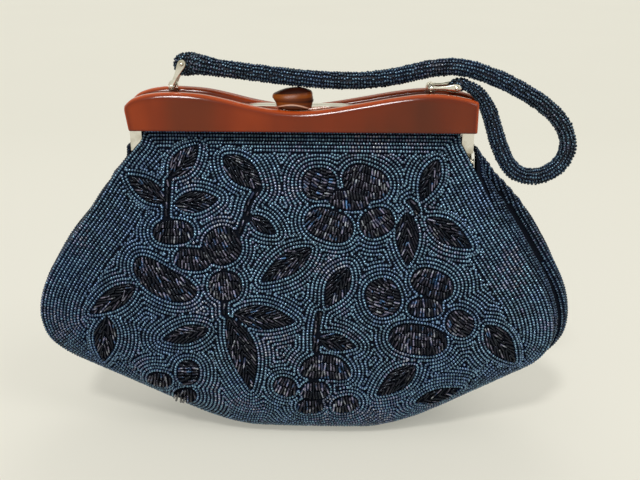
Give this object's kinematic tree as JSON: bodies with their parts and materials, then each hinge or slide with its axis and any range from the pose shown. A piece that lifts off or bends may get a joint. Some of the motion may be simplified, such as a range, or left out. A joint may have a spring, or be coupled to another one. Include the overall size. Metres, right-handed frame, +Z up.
{
  "type": "beaded handbag",
  "caption": "Beaded evening handbag with two moulded frame bars, a hinged metal frame, a tip clasp, two wire bails and a beaded rope handle.",
  "frame": {"origin": "middle of the flat base, on the surface the bag stands on", "axes": "+X along the frame to the right, +Y to the back, +Z up; the clasp opens above the origin"},
  "size_m": [0.2908, 0.0652, 0.2049],
  "materials": {
    "beads": "blue glass seed beads sewn in rows on cloth, with dark bugle bead flowers",
    "gusset_beads": "seed beads in lengthwise rows on a pleated gusset",
    "tortoise": "polished amber and brown tortoiseshell plastic",
    "knob": "polished dark brown plastic",
    "silver_metal": "satin silver plate",
    "satin": "dark satin lining"
  },
  "bodies": {
    "bag_body": {"front_panel": "beads", "back_panel": "beads", "gusset_left": "gusset_beads", "gusset_right": "gusset_beads", "lining": "satin", "lining_pocket": "satin", "hinge_pivot_left": "silver_metal", "hinge_pivot_right": "silver_metal"},
    "front_frame": {"front_bar": "tortoise", "front_channel": "silver_metal", "front_bar_rivet_1": "silver_metal", "front_bar_rivet_2": "silver_metal", "front_bar_rivet_3": "silver_metal", "clasp_catch": "silver_metal"},
    "rear_frame": {"rear_bar": "tortoise", "rear_channel": "silver_metal", "rear_bar_rivet_1": "silver_metal", "rear_bar_rivet_2": "silver_metal", "rear_bar_rivet_3": "silver_metal", "clasp_pin": "silver_metal", "clasp_spring": "silver_metal", "bail_post_left": "silver_metal", "bail_post_right": "silver_metal", "handle_rope": "beads"},
    "clasp": {"clasp_lever": "silver_metal", "clasp_knob": "knob", "knob_rivet": "silver_metal"},
    "left_bail": {"bail_left": "silver_metal", "bail_pin_left": "silver_metal", "handle_loop_left": "beads"},
    "right_bail": {"bail_right": "silver_metal", "bail_pin_right": "silver_metal", "handle_loop_right": "beads"}
  },
  "joints": [
    {"name": "rear_frame_hinge", "type": "hinge", "parent": "bag_body", "child": "rear_frame", "pos_m": [-0.00135, 0, 0.15], "axis": [-1, 0, 0], "range_deg": [0, 32], "deforming": ["back_panel", "gusset_left", "gusset_right", "lining", "lining_pocket"]},
    {"name": "front_frame_hinge", "type": "hinge", "parent": "bag_body", "child": "front_frame", "pos_m": [-0.00135, 0, 0.15], "axis": [1, 0, 0], "range_deg": [0, 32], "deforming": ["front_panel", "gusset_left", "gusset_right", "lining"]},
    {"name": "clasp_tip", "type": "hinge", "parent": "rear_frame", "child": "clasp", "pos_m": [-0.00575, 0.002, 0.1755], "axis": [-1, 0, 0], "range_deg": [0, 12], "stiffness_Nm_per_rad": 0.02, "springref_deg": -5.73, "deforming": ["clasp_spring"]},
    {"name": "left_bail_swing", "type": "hinge", "parent": "rear_frame", "child": "left_bail", "pos_m": [-0.06705, 0.0023, 0.1891], "axis": [0, 1, 0], "range_deg": [-117, 63], "deforming": ["handle_rope"]},
    {"name": "right_bail_swing", "type": "hinge", "parent": "rear_frame", "child": "right_bail", "pos_m": [0.06435, 0.0023, 0.1891], "axis": [0, 1, 0], "range_deg": [-180, 0], "deforming": ["handle_rope"]}
  ],
  "couplings": [
    {"joint": "front_frame_hinge", "follows": "rear_frame_hinge", "ratio": 1}
  ]
}
